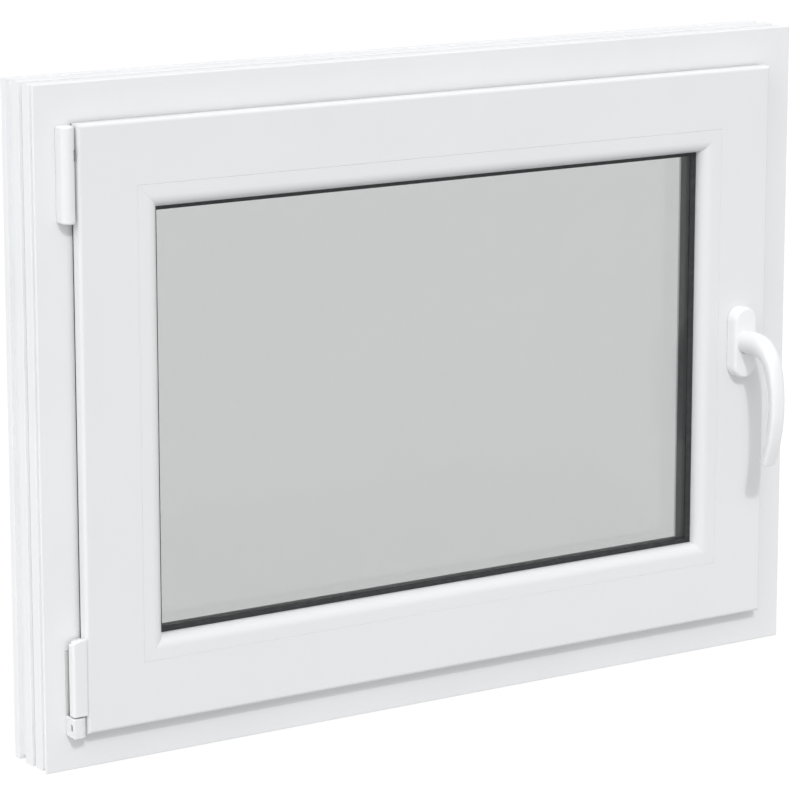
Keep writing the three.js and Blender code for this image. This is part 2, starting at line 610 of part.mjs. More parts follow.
function handleLever() {
  const neck = depthRod(NECK_R, [0, 0], [SHOULDER_Y, LEVER_BACK], 20);
  const shoulder = new THREE.SphereGeometry(NECK_R, 20, 12).translate(0, SHOULDER_Y, 0);
  const route = new THREE.CatmullRomCurve3(GRIP_LINE.map(([y, z]) => new THREE.Vector3(0, y, z)));
  const section = outlineShape(roundedRectangle(GRIP_WIDTH, GRIP_THICKNESS, GRIP_ROUNDING));
  const grip = new THREE.ExtrudeGeometry(section, { steps: 22, extrudePath: route });
  return carve(neck, { added: [shoulder, grip], cut: [block(SPINDLE_HOLE, [-42, 0], SPINDLE_HOLE)] });
}

function handleSpindle() {
  return block([-SPINDLE / 2, SPINDLE / 2], [-41, 15], [-SPINDLE / 2, SPINDLE / 2]);
}

// ---- Assembly ----------------------------------------------------------------------------------------

function placed(piece, x, y, z) {
  piece.position.set(x, y, z);
  return piece;
}

const sideNames = Object.keys(SIDES);
const frame = new THREE.Group();
const sash = new THREE.Group();
const drive = new THREE.Group();
const handle = new THREE.Group();
handle.position.set(HANDLE_X, 0, HANDLE_Z);

for (const side of sideNames) {
  const { length } = SIDES[side];
  frame.add(barMesh("frame_profile", side, frameProfile(side), plastic));
  frame.add(barMesh("frame_steel", side, hollowBar(FRAME_STEEL, [FRAME_STEEL_BORE], length, STEEL_CUT_BACK), steel));
  sash.add(barMesh("sash_profile", side, sashProfile(side), plastic));
  sash.add(barMesh("sash_steel", side, hollowBar(SASH_STEEL, [SASH_STEEL_BORE], length, STEEL_CUT_BACK), steel));
  sash.add(barMesh("glazing_bead", side, hollowBar(BEAD_SECTION, [BEAD_CHAMBER], length), plastic));
}

// Where each cam stands at rest, measured along its own side, and the middle of its travel.
const UPPER_CAM = 430;
const LOWER_CAM = 190;
const TOP_CAM = 560;
const BOTTOM_CAM = 420;
const STRIKER_LENGTH = ROD_TRAVEL + 2 * CAM_R + 26;
const CAM_ROOM = 3;

frame.add(
  mesh("frame_gasket", frameGasket(), gasketRubber),
  mesh("stay_bearing", stayBearing(), zincCast),
  mesh("stay_bearing_pin", uprightRod(PIN_R, AXIS, [499, 560.5]), steel),
  mesh("stay_bearing_cover", stayCover(), plastic),
  mesh("corner_bearing", cornerBearing(), zincCast),
  mesh("corner_bearing_cover", cornerBearingCover(), plastic),
);

function strikerOn(name, side, alongTravel) {
  return alongSide(name, side, striker(STRIKER_LENGTH).translate(alongTravel, GROOVE_Y, 0), zincCast);
}

frame.add(
  strikerOn("striker_right_upper", "right", UPPER_CAM - ROD_TRAVEL / 2),
  strikerOn("striker_right_lower", "right", LOWER_CAM - ROD_TRAVEL / 2),
  strikerOn("striker_top", "top", WIDTH - TOP_CAM - ROD_TRAVEL / 2),
  strikerOn("striker_bottom", "bottom", BOTTOM_CAM - ROD_TRAVEL / 2),
);

sash.add(
  mesh("sash_gasket", sashGasket(), gasketRubber),
  mesh("glazing_gasket_inner", mitredRing(INNER_GASKET), gasketRubber),
  mesh("glazing_gasket_outer", mitredRing(OUTER_GASKET), gasketRubber),
  mesh("pane_inner", pane(0), glass),
  mesh("pane_outer", pane(OUTER_PANE), glass),
  mesh("spacer_bar", spacerBar(), blackBar),
  mesh("setting_block_left", settingBlock(190), packer),
  mesh("setting_block_right", settingBlock(WIDTH - 190), packer),
  mesh("corner_hinge", cornerHinge(), zincCast),
  mesh("corner_hinge_pin", uprightRod(PIN_R, AXIS, [PIVOT_Z + BALL_R + GAP, HINGE_HIGH + 1.5]), steel),
  mesh("corner_hinge_cover", cornerHingeCover(), plastic),
);

// Stretches of the hardware groove, measured along each side from its own start.
const plateStart = SASH_GROOVE + CORNER_REACH + GAP;
const slotFor = (cam) => [cam - ROD_TRAVEL - CAM_R - CAM_ROOM, cam + CAM_R + CAM_ROOM];
const sliderSlot = [AXIS_X + STAY_LENGTH - 16, AXIS_X + STAY_LENGTH + 12];
const fromRight = ([start, end]) => [WIDTH - end, WIDTH - start];
const topCamFromRight = WIDTH - TOP_CAM;
sash.add(
  alongSide("faceplate_right", "right",
    faceplate([plateStart, HEIGHT - plateStart], [slotFor(UPPER_CAM), slotFor(LOWER_CAM)]), steel),
  alongSide("faceplate_top", "top",
    faceplate([plateStart, WIDTH - STAY_RAIL_END], [slotFor(topCamFromRight)]), steel),
  alongSide("stay_rail", "top", faceplate(fromRight([60, STAY_RAIL_END - GAP]), [fromRight(sliderSlot)]), steel),
  alongSide("faceplate_bottom", "bottom", faceplate([60, WIDTH - plateStart], [slotFor(BOTTOM_CAM)]), steel),
  mesh("corner_drive_bottom", cornerDrive(), steel),
  placed(mesh("corner_drive_top", cornerDrive().rotateX(Math.PI).translate(0, 2 * GROOVE_Y, 0), steel), 0, 0, HEIGHT),
  mesh("gearbox_housing", gearboxHousing(), zincCast),
);

handle.add(
  mesh("rosette_base", rosetteBase(), zincCast),
  mesh("rosette_cover", rosetteCover(), plastic),
  mesh("handle_screw_upper", handleScrew(1), steel),
  mesh("handle_screw_lower", handleScrew(-1), steel),
  mesh("handle_lever", handleLever(), plastic),
  mesh("handle_spindle", handleSpindle(), steel),
  placed(mesh("drive_pinion", drivePinion(), steel), 0, GROOVE_Y, 0),
);

drive.add(
  mesh("corner_swivel", cornerSwivel(), steel),
  mesh("stay_arm", stayArm(), steel),
  mesh("drive_rod_right", rackRod([104, 496], [UPPER_CAM, LOWER_CAM]), steel),
  alongSide("drive_rod_top", "top", driveRod([100, 460], [topCamFromRight]), steel),
  alongSide("drive_rod_bottom", "bottom", driveRod([110, 700], [BOTTOM_CAM]), steel),
);

const group = new THREE.Group();
group.position.set(-WIDTH / 2, -DEPTH / 2, 0);
group.add(frame, sash, handle, drive);

export default group;
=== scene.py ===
"""The look of the tilt-and-turn window: plastic profiles, hinge covers and handle around the CAD frame.

Shapes are drawn in window millimetres: X from the frame's left edge, Y from its room face to the outside,
Z up. at() puts them in place in the row frame. "Inset" is the distance inwards from a ring's outer edge.
"""
import bpy
import bmesh
import json
import math
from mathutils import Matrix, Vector


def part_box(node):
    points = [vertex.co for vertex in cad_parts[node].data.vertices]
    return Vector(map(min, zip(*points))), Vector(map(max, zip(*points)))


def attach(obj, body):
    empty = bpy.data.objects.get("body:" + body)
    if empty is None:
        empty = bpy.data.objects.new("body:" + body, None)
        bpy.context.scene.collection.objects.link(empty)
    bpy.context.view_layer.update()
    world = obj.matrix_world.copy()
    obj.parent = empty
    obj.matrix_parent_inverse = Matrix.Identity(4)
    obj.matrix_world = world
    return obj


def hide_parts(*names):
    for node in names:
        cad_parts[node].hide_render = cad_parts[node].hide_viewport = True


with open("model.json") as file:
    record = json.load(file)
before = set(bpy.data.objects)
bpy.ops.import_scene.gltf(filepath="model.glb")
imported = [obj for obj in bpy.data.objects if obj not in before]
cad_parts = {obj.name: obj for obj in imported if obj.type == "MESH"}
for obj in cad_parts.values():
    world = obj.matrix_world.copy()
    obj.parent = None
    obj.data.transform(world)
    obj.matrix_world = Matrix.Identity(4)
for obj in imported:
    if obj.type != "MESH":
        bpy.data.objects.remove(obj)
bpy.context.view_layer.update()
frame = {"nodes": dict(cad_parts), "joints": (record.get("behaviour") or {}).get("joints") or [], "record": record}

MM = 0.001
SIDES = ("bottom", "right", "top", "left")


# ---- Where things are ----------------------------------------------------------------------------

def joint_place(name):
    found = next(j for j in frame["joints"] if j["name"] == name)
    return Vector(found["pos_m"])


def shared_box(nodes):
    boxes = [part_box(node) for node in nodes]
    low = Vector([min(b[0][i] for b in boxes) for i in range(3)])
    high = Vector([max(b[1][i] for b in boxes) for i in range(3)])
    return low, high


FRAME_NODES = [f"frame_profile_{side}" for side in SIDES]
SASH_NODES = [f"sash_profile_{side}" for side in SIDES]
CORNER = shared_box(FRAME_NODES)[0]


def at(x, y, z):
    """A point given in window millimetres, in the row frame."""
    return CORNER + Vector((x, y, z)) * MM


def in_window(point):
    """A row frame point in window millimetres."""
    return (point - CORNER) / MM


HINGE = in_window(joint_place("sash_turn"))
HANDLE = in_window(joint_place("handle_turn"))


# ---- Outlines: lists of 2-D points in millimetres ------------------------------------------------

def arc(centre, radius, start, end, steps):
    """Points on an arc, angles in degrees."""
    angles = [math.radians(start + (end - start) * i / steps) for i in range(steps + 1)]
    return [(centre[0] + radius * math.cos(a), centre[1] + radius * math.sin(a)) for a in angles]


NEARLY_STRAIGHT = math.radians(176)
LONGEST_REACH = 0.46            # of a side, so that the roundings at its two ends stay apart


def rounded(points, usual=0.5, steps=5):
    """A closed outline with its corners rounded. A point may carry its own radius as a third number."""
    made = []
    count = len(points)
    for i, point in enumerate(points):
        here = Vector(point[:2])
        radius = point[2] if len(point) > 2 else usual
        back = Vector(points[i - 1][:2]) - here
        ahead = Vector(points[(i + 1) % count][:2]) - here
        turn = back.angle(ahead)
        if radius <= 0 or turn > NEARLY_STRAIGHT:
            made.append(tuple(here))
            continue
        longest = LONGEST_REACH * min(back.length, ahead.length)
        reach = min(radius / math.tan(turn / 2), longest)
        radius = reach * math.tan(turn / 2)
        first = here + back.normalized() * reach
        last = here + ahead.normalized() * reach
        inwards = (back.normalized() + ahead.normalized()).normalized()
        middle = here + inwards * (radius / math.sin(turn / 2))
        a, b = first - middle, last - middle
        for k in range(steps + 1):
            share = k / steps
            sweep = a.angle(b)
            if sweep < 1e-4:
                made.append(tuple(here))
                break
            mixed = (a * math.sin((1 - share) * sweep) + b * math.sin(share * sweep)) / math.sin(sweep)
            made.append(tuple(middle + mixed))
    return made


def shrunk(outline, by):
    """The outline (anticlockwise) moved inwards by a distance."""
    made = []
    count = len(outline)
    for i in range(count):
        before, here, after = (Vector(outline[(i + k) % count]) for k in (-1, 0, 1))
        one = (here - before).normalized()
        two = (after - here).normalized()
        normal = Vector((-one.y, one.x)) + Vector((-two.y, two.x))
        scale = 2 * by / max(normal.length_squared, 0.5)
        made.append(tuple(here + normal * scale))
    return made


def stadium(width, height, steps=24):
    radius = width / 2
    rise = height / 2 - radius
    return arc((0, rise), radius, 0, 180, steps) + arc((0, -rise), radius, 180, 360, steps)


def rectangle(x0, x1, y0, y1):
    return [(x0, y0), (x1, y0), (x1, y1), (x0, y1)]


# ---- Meshes --------------------------------------------------------------------------------------

def new_piece(name, mesh_data, body, material, replaces=()):
    piece = bpy.data.objects.new(name, mesh_data)
    bpy.context.scene.collection.objects.link(piece)
    piece.data.materials.append(material)
    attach(piece, body)
    if replaces:
        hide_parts(*replaces)
    return piece


def finish_shading(piece, angle=32, extra_sharp=None):
    """Smooth faces with sharp edges above an angle, and normals that keep the flat faces flat."""
    mesh = piece.data
    work = bmesh.new()
    work.from_mesh(mesh)
    limit = math.radians(angle)
    for face in work.faces:
        face.smooth = True
    for edge in work.edges:
        sharp = len(edge.link_faces) != 2 or edge.calc_face_angle(0) > limit
        edge.smooth = not (sharp or (extra_sharp is not None and extra_sharp(edge)))
    work.to_mesh(mesh)
    work.free()
    weighted = piece.modifiers.new("weighted", "WEIGHTED_NORMAL")
    weighted.keep_sharp = True
    weighted.weight = 80


def ring_mesh(name, sections, corners):
    """Closed rings: each section point (inset, depth) runs round the rectangle between two corners.
    The second and later sections are chambers, with their faces turned inwards."""
    (x0, z0), (x1, z1) = corners
    mesh = bpy.data.meshes.new(name)
    work = bmesh.new()
    along = work.loops.layers.uv.new("along")
    for number, section in enumerate(sections):
        loops = []
        for i, y in section:
            turns = ((x0 + i, z0 + i), (x1 - i, z0 + i), (x1 - i, z1 - i), (x0 + i, z1 - i))
            loops.append([work.verts.new(at(x, y, z)) for x, z in turns])
        across = [0.0]
        for a, b in zip(section, section[1:] + section[:1]):
            across.append(across[-1] + math.dist(a, b) * MM)
        for j in range(len(section)):
            near, far = loops[j], loops[(j + 1) % len(section)]
            for k in range(4):
                m = (k + 1) % 4
                corners_here = [near[k], near[m], far[m], far[k]]
                heights = [across[j], across[j], across[j + 1], across[j + 1]]
                if number > 0:
                    corners_here.reverse()
                    heights.reverse()
                face = work.faces.new(corners_here)
                for loop, height in zip(face.loops, heights):
                    place = loop.vert.co
                    loop[along].uv = (place.x if k % 2 == 0 else place.z, height)
    work.normal_update()
    work.to_mesh(mesh)
    work.free()
    return mesh


def outward(mesh):
    """Turns a closed mesh's faces outwards, and inwards on the walls of its chambers."""
    work = bmesh.new()
    work.from_mesh(mesh)
    if work.calc_volume(signed=True) < 0:
        bmesh.ops.reverse_faces(work, faces=work.faces)
    work.to_mesh(mesh)
    work.free()


def on_mitre(corners):
    """A test for edges that lie on the diagonals at the corners of a ring."""
    (x0, z0), (x1, z1) = corners

    def inset_pair(point):
        spot = in_window(point)
        return min(spot.x - x0, x1 - spot.x), min(spot.z - z0, z1 - spot.z)

    def test(edge):
        pairs = [inset_pair(v.co) for v in edge.verts]
        return all(abs(a - b) < 0.01 for a, b in pairs)

    return test


def cut_away(piece, cutters):
    """Takes solids out of a piece and deletes them."""
    for cutter in cutters:
        tool = piece.modifiers.new("cut", "BOOLEAN")
        tool.operation = "DIFFERENCE"
        tool.solver = "EXACT"
        tool.object = cutter
    bpy.context.view_layer.update()
    graph = bpy.context.evaluated_depsgraph_get()
    result = bpy.data.meshes.new_from_object(piece.evaluated_get(graph))
    piece.modifiers.clear()
    piece.data = result
    for cutter in cutters:
        bpy.data.objects.remove(cutter)


def cutter_from(outline, low, high, toward):
    """A prism that runs from low to high along X, Y or Z, with its outline in the other two."""
    place = {
        "X": lambda a, b, level: at(level, a, b),
        "Y": lambda a, b, level: at(a, level, b),
        "Z": lambda a, b, level: at(a, b, level),
    }[toward]
    mesh = bpy.data.meshes.new("cutter")
    work = bmesh.new()
    rows = [[work.verts.new(place(a, b, level)) for a, b in outline] for level in (low, high)]
    count = len(outline)
    for i in range(count):
        j = (i + 1) % count
        work.faces.new([rows[0][i], rows[0][j], rows[1][j], rows[1][i]])
    work.faces.new(rows[0][::-1])
    work.faces.new(rows[1])
    bmesh.ops.recalc_face_normals(work, faces=work.faces)
    work.to_mesh(mesh)
    work.free()
    cutter = bpy.data.objects.new("cutter", mesh)
    bpy.context.scene.collection.objects.link(cutter)
    return cutter


def loft_mesh(name, rings, close_start=True, close_end=True):
    """Joins rings of the same number of points, given in window mm, one after another."""
    mesh = bpy.data.meshes.new(name)
    work = bmesh.new()
    rows = [[work.verts.new(at(*point)) for point in ring] for ring in rings]
    count = len(rings[0])
    for low, high in zip(rows, rows[1:]):
        for i in range(count):
            j = (i + 1) % count
            work.faces.new([low[i], low[j], high[j], high[i]])
    caps = []
    if close_start:
        caps.append(work.faces.new(rows[0][::-1]))
    if close_end:
        caps.append(work.faces.new(rows[-1]))
    bmesh.ops.triangulate(work, faces=caps)
    bmesh.ops.remove_doubles(work, verts=work.verts, dist=1e-6)
    bmesh.ops.recalc_face_normals(work, faces=work.faces)
    work.to_mesh(mesh)
    work.free()
    return mesh


def edge_rounding(radius, steps=5):
    """(distance inwards, rise) pairs that round an end face's edge, from the side wall to the face."""
    angles = [math.radians(90 * i / steps) for i in range(steps + 1)]
    return [(radius * (1 - math.cos(a)), radius * math.sin(a)) for a in angles]


def upright_rings(outline, low, high, low_radius, high_radius, tilt=None):
    """Rings of an outline in X and Y from low to high, with both end edges rounded.
    tilt(x, y) says how far the top is lowered."""
    rings = []
    for inwards, rise in reversed(edge_rounding(low_radius)):
        rings.append([(x, y, low + low_radius - rise) for x, y in shrunk(outline, inwards)])
    for inwards, rise in edge_rounding(high_radius):
        level = high - high_radius + rise
        rings.append([(x, y, level - (tilt(x, y) if tilt else 0)) for x, y in shrunk(outline, inwards)])
    return rings


# ---- Materials -----------------------------------------------------------------------------------

class Look:
    """A node material around one Principled shader."""

    def __init__(self, name, colour, metallic=0.0, **fixed):
        self.material = bpy.data.materials.new(name)
        self.material.use_nodes = True
        self.tree = self.material.node_tree
        self.shader = self.tree.nodes["Principled BSDF"]
        self.colour = (*colour, 1.0)
        self.set("Base Color", self.colour)
        self.set("Metallic", metallic)
        for socket, value in fixed.items():
            self.set(socket.replace("_", " "), value)
        self.shades = None
        self.height = None

    def set(self, socket, value):
        self.shader.inputs[socket].default_value = value

    def node(self, kind, **settings):
        made = self.tree.nodes.new(kind)
        for key, value in settings.items():
            setattr(made, key, value)
        return made

    def join(self, output, entry):
        self.tree.links.new(output, entry)

    def stretched(self, scale, uv=None):
        """Texture coordinates scaled along each axis, from the object or from a UV map."""
        if uv:
            source = self.node("ShaderNodeUVMap", uv_map=uv).outputs["UV"]
        else:
            source = self.node("ShaderNodeTexCoord").outputs["Object"]
        mapping = self.node("ShaderNodeMapping")
        mapping.inputs["Scale"].default_value = scale
        self.join(source, mapping.inputs["Vector"])
        return mapping.outputs["Vector"]

    def noise(self, size, detail=3.0, uv=None, stretch=(1, 1, 1), roughness=0.5):
        """Noise with features of about the given size in metres, from 0 to 1."""
        texture = self.node("ShaderNodeTexNoise")
        texture.inputs["Scale"].default_value = 1.0
        texture.inputs["Detail"].default_value = detail
        texture.inputs["Roughness"].default_value = roughness
        self.join(self.stretched([s / size for s in stretch], uv), texture.inputs["Vector"])
        return texture.outputs["Fac"]

    def remap(self, value, low, high, to_low, to_high):
        made = self.node("ShaderNodeMapRange")
        made.inputs["From Min"].default_value = low
        made.inputs["From Max"].default_value = high
        made.inputs["To Min"].default_value = to_low
        made.inputs["To Max"].default_value = to_high
        self.join(value, made.inputs["Value"])
        return made.outputs["Result"]

    def tint(self, value, colour):
        """Mixes towards a colour where value is 1."""
        mix = self.node("ShaderNodeMix", data_type="RGBA")
        mix.inputs[6].default_value = self.colour
        mix.inputs[7].default_value = (*colour, 1.0)
        if self.shades is not None:
            self.join(self.shades, mix.inputs[6])
        self.join(value, mix.inputs[0])
        self.shades = mix.outputs[2]
        self.join(self.shades, self.shader.inputs["Base Color"])

    def gloss(self, value):
        self.join(value, self.shader.inputs["Roughness"])

    def bump(self, value, strength, distance):
        made = self.node("ShaderNodeBump")
        made.inputs["Strength"].default_value = strength
        made.inputs["Distance"].default_value = distance
        self.join(value, made.inputs["Height"])
        if self.height is not None:
            self.join(self.height, made.inputs["Normal"])
        self.height = made.outputs["Normal"]
        self.join(self.height, self.shader.inputs["Normal"])

    def pointed(self, low, high):
        """1 on outer edges or, with low above high, in hollows."""
        geometry = self.node("ShaderNodeNewGeometry")
        return self.remap(geometry.outputs["Pointiness"], low, high, 0.0, 1.0)


UPVC = (0.80, 0.81, 0.822)
UPVC_SHADED = (0.765, 0.775, 0.785)


def extruded_plastic(name, uv=None, painted_lighter=1.0):
    """Satin white extruded plastic: fine die lines along the bar, faint haze and handling marks, and painted shade
    that greys its hollows.
    """
    # A factor above 1 gives a lighter copy of the same plastic: painted light.
    look = Look(name, [part * painted_lighter for part in UPVC], Specular_IOR_Level=0.5)
    look.tint(look.remap(look.noise(0.09, 4), 0.35, 0.75, 0.0, 0.35), UPVC_SHADED)
    look.tint(look.remap(look.noise(0.0035, 2), 0.62, 0.8, 0.0, 0.22), (0.84, 0.85, 0.86))
    # Painted shade: the colour turns grey in hollows and creases.
    look.tint(look.remap(look.pointed(0.47, 0.40), 0.0, 1.0, 0.0, 0.45), (0.70, 0.70, 0.69))
    look.gloss(look.remap(look.noise(0.012, 5), 0.25, 0.75, 0.30, 0.44))
    if uv:
        look.bump(look.noise(0.0011, 2, uv=uv, stretch=(0.012, 1, 1)), 0.10, 0.00006)
    look.bump(look.noise(0.0006, 3), 0.07, 0.00005)
    return look.material


def moulded_plastic(name):
    """Smooth white moulded cap."""
    look = Look(name, (0.81, 0.818, 0.828), Specular_IOR_Level=0.5)
    look.tint(look.remap(look.noise(0.02, 3), 0.35, 0.7, 0.0, 0.25), (0.79, 0.797, 0.806))
    look.gloss(look.remap(look.noise(0.006, 3), 0.3, 0.7, 0.30, 0.34))
    look.bump(look.noise(0.0009, 2), 0.02, 0.00002)
    return look.material


def powder_coat(name):
    """White powder coat on cast aluminium: a faint orange-peel surface."""
    look = Look(name, (0.865, 0.875, 0.89), Specular_IOR_Level=0.5, Coat_Weight=0.12, Coat_Roughness=0.15)
    look.tint(look.remap(look.noise(0.015, 3), 0.35, 0.7, 0.0, 0.4), (0.85, 0.86, 0.875))
    look.tint(look.remap(look.pointed(0.56, 0.64), 0.0, 1.0, 0.0, 0.35), (0.84, 0.85, 0.86))
    look.gloss(look.remap(look.noise(0.004, 4), 0.3, 0.7, 0.29, 0.36))
    look.bump(look.noise(0.0014, 2), 0.07, 0.00006)
    look.bump(look.noise(0.0004, 2), 0.04, 0.00003)
    return look.material


def black_rubber(name):
    look = Look(name, (0.022, 0.023, 0.025), Specular_IOR_Level=0.4)
    look.tint(look.remap(look.noise(0.008, 4), 0.45, 0.75, 0.0, 0.5), (0.05, 0.052, 0.055))
    look.tint(look.remap(look.pointed(0.55, 0.62), 0.0, 1.0, 0.0, 0.4), (0.085, 0.087, 0.09))
    look.gloss(look.remap(look.noise(0.003, 4), 0.3, 0.7, 0.52, 0.72))
    look.bump(look.noise(0.0004, 3), 0.25, 0.00008)
    return look.material


def float_glass(name):
    """Clear float glass with a light grey tint, a trace of haze and roller wave."""
    look = Look(name, (0.732, 0.739, 0.737), Transmission_Weight=1.0, IOR=1.45)
    look.tint(look.remap(look.noise(0.16, 2), 0.35, 0.7, 0.0, 0.3), (0.742, 0.749, 0.747))
    look.gloss(look.remap(look.noise(0.05, 4), 0.5, 0.85, 0.0, 0.03))
    look.bump(look.noise(0.12, 1), 0.02, 0.0002)
    return look.material


def spacer_plastic(name):
    """Black warm-edge bar, with the fine knurl that shows between the panes."""
    look = Look(name, (0.035, 0.036, 0.038), Specular_IOR_Level=0.4)
    look.tint(look.remap(look.noise(0.0015, 3), 0.4, 0.7, 0.0, 0.5), (0.055, 0.056, 0.058))
    look.gloss(look.remap(look.noise(0.002, 4), 0.3, 0.7, 0.46, 0.58))
    look.bump(look.noise(0.0007, 2), 0.3, 0.0001)
    return look.material


def packer_plastic(name):
    look = Look(name, (0.10, 0.22, 0.46), Specular_IOR_Level=0.45)
    look.tint(look.remap(look.noise(0.006, 4), 0.4, 0.7, 0.0, 0.6), (0.07, 0.16, 0.36))
    look.gloss(look.remap(look.noise(0.004, 3), 0.3, 0.7, 0.38, 0.55))
    look.bump(look.noise(0.0008, 3), 0.2, 0.0001)
    return look.material


def metal(name, colour, worn, size, rough, grain, stretch=(1, 1, 1)):
    """Plated or cast metal with mottled plating, brighter worn edges and a grain."""
    look = Look(name, colour, metallic=1.0)
    look.tint(look.remap(look.noise(size, 5, roughness=0.6), 0.35, 0.7, 0.0, 0.8), worn)
    look.tint(look.remap(look.pointed(0.54, 0.62), 0.0, 1.0, 0.0, 0.7), (0.86, 0.87, 0.87))
    look.gloss(look.remap(look.noise(size * 0.6, 5), 0.3, 0.7, *rough))
    look.bump(look.noise(grain, 3, stretch=stretch), 0.25, 0.00006)
    return look.material


LOOKS = {
    "white_upvc": extruded_plastic("white_upvc"),
    "white_hinge_cover": moulded_plastic("white_hinge_cover"),
    "white_handle_enamel": powder_coat("white_handle_enamel"),
    "black_gasket": black_rubber("black_gasket"),
    "glass": float_glass("float_glass"),
    "black_spacer": spacer_plastic("black_spacer"),
    "packer_plastic": packer_plastic("packer_plastic"),
    "galvanised_steel": metal("galvanised_steel", (0.58, 0.60, 0.61), (0.46, 0.48, 0.49),
                              size=0.012, rough=(0.35, 0.55), grain=0.002),
    "plated_steel": metal("plated_steel", (0.66, 0.67, 0.67), (0.55, 0.56, 0.55),
                          size=0.02, rough=(0.24, 0.40), grain=0.0006, stretch=(1, 1, 0.05)),
    "cast_zinc": metal("cast_zinc", (0.45, 0.47, 0.41), (0.38, 0.40, 0.35),
                       size=0.006, rough=(0.32, 0.50), grain=0.0005),
}
WELDED_UPVC = extruded_plastic("white_upvc_drawn", uv="along")
# The frame is the sash's plastic made 3.5% lighter: painted light on the frame.
FRAME_UPVC_PAINTED_LIGHTER = extruded_plastic("white_upvc_frame_painted_lighter", uv="along", painted_lighter=1.035)

# Every carried-over CAD node gets its slot's material, and the metal ones get broken edges.
METALS = ("galvanised_steel", "plated_steel", "cast_zinc")
BROKEN_EDGE = 0.25
SLOT_OF = {row["node"]: row["material_slot"] for row in frame["record"]["subparts"]}
for node, piece in frame["nodes"].items():
    piece.data.materials.clear()
    piece.data.materials.append(LOOKS[SLOT_OF[node]])
    if SLOT_OF[node] in METALS:
        broken = piece.modifiers.new("broken_edges", "BEVEL")
        broken.width = BROKEN_EDGE * MM
        broken.segments = 2
        broken.limit_method = "ANGLE"
        broken.angle_limit = math.radians(40)


# ---- Frame and sash: welded rings of profile -----------------------------------------------------

DEPTH = 60.0
WIDTH, _, HEIGHT = in_window(shared_box(FRAME_NODES)[1])
OUTER = ((0.0, 0.0), (WIDTH, HEIGHT))
FRAME_REBATE = 40.0
STOP = 49.0                     # the outside leg's room side, where the frame gasket sits
FRAME_LEG = 62.0
GASKET_FOOT = (56.2, 58.8)
FOOT_BACK = 51.3

# Each point is inset, depth and corner radius. The last two rows are the outer edge with its grooves.
FRAME_SECTION = rounded([
    (0, 0, 1.0), (FRAME_REBATE, 0, 1.6), (FRAME_REBATE, STOP, 0.6),
    (GASKET_FOOT[0], STOP, 0.2), (GASKET_FOOT[0], FOOT_BACK, 0.2),
    (GASKET_FOOT[1], FOOT_BACK, 0.2), (GASKET_FOOT[1], STOP, 0.2),
    (FRAME_LEG, STOP, 0.8), (FRAME_LEG, 57, 1.2), (59, DEPTH, 1.2),
    (0, DEPTH, 0.8), (0, 51, 0.6), (4, 51, 0.4), (4, 40, 0.4), (0, 40, 0.6), (0, 26.4, 0.6), (4, 26.4, 0.4),
    (4, 22, 0.4), (1, 22, 0.5), (1, 9, 0.5), (3, 9, 0.3), (3, 2.2, 0.3), (0, 2.2, 0.4),
])
FRAME_CHAMBERS = [
    rectangle(5.5, 37.5, 2.5, 13),
    rectangle(6.5, 37.5, 15.5, 38),
    rectangle(6.5, 37.5, 40.5, 48.6),
    rectangle(6.5, 53.5, 51.5, 57.5),
]


def welded_ring(name, sections, body, material, replaces, cutters=()):
    mesh = ring_mesh(name, sections, OUTER)
    outward(mesh)
    piece = new_piece(name, mesh, body, material, replaces)
    if cutters:
        cut_away(piece, cutters)
    finish_shading(piece, extra_sharp=on_mitre(OUTER))
    return piece


def slot_outline(x, z, length, height):
    radius = height / 2
    return (arc((x + length / 2 - radius, z), radius, -90, 90, 8)
            + arc((x - length / 2 + radius, z), radius, 90, 270, 8))


DRAIN_PLACES = (150, 400, 650)
DRAIN_HEIGHT = 46.5
DRAIN_SIZE = (26, 5)
DRAIN_START = 56                # inside the last chamber
drains = [cutter_from(slot_outline(x, DRAIN_HEIGHT, *DRAIN_SIZE), DRAIN_START, DEPTH + 1, "Y")
          for x in DRAIN_PLACES]
welded_ring("frame_welded", [FRAME_SECTION] + FRAME_CHAMBERS, "frame", FRAME_UPVC_PAINTED_LIGHTER, FRAME_NODES, drains)

SASH_FACE = in_window(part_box("sash_profile_left")[0]).y
SASH_EDGE = in_window(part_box("sash_profile_left")[0]).x
LIP_BACK = -3.5
BEAD_EDGE = 90.0
GLASS_EDGE = 111.0
UNIT_BACK = 24.0
LEG_Y = UNIT_BACK + 3           # the outside leg's room side, with room for the gasket behind the glass
SASH_BACK = 45.0
GROOVE_Y = 9.5
GROOVE = 50.0
SASH_SECTION = rounded([
    (SASH_EDGE, LIP_BACK, 0.6), (SASH_EDGE, SASH_FACE, 3.2), (BEAD_EDGE, SASH_FACE, 0.3),
    (BEAD_EDGE, -11, 0.2), (87.5, -11, 0.2), (87.5, -7.5, 0.2), (BEAD_EDGE, -7.5, 0.2),
    (BEAD_EDGE, LEG_Y, 0.3), (101.6, LEG_Y, 0.2), (101.6, LEG_Y + 2.6, 0.2),
    (104.2, LEG_Y + 2.6, 0.2), (104.2, LEG_Y, 0.2), (108, LEG_Y, 0.6),
    (98.2, 40, 2.5), (97, SASH_BACK, 2.0), (GROOVE, SASH_BACK, 1.2),
    (GROOVE, GROOVE_Y + 10, 0.4), (GROOVE + 2.2, GROOVE_Y + 10, 0.2), (GROOVE + 2.2, GROOVE_Y + 6, 0.2),
    (GROOVE + 10, GROOVE_Y + 6, 0.4), (GROOVE + 10, GROOVE_Y - 6, 0.4), (GROOVE + 2.2, GROOVE_Y - 6, 0.2),
    (GROOVE + 2.2, GROOVE_Y - 10, 0.2), (GROOVE, GROOVE_Y - 10, 0.4), (GROOVE, LIP_BACK, 0.4),
    (38.8, LIP_BACK, 0.2), (38.8, LIP_BACK - 2.6, 0.2), (36.2, LIP_BACK - 2.6, 0.2), (36.2, LIP_BACK, 0.2),
], steps=6)
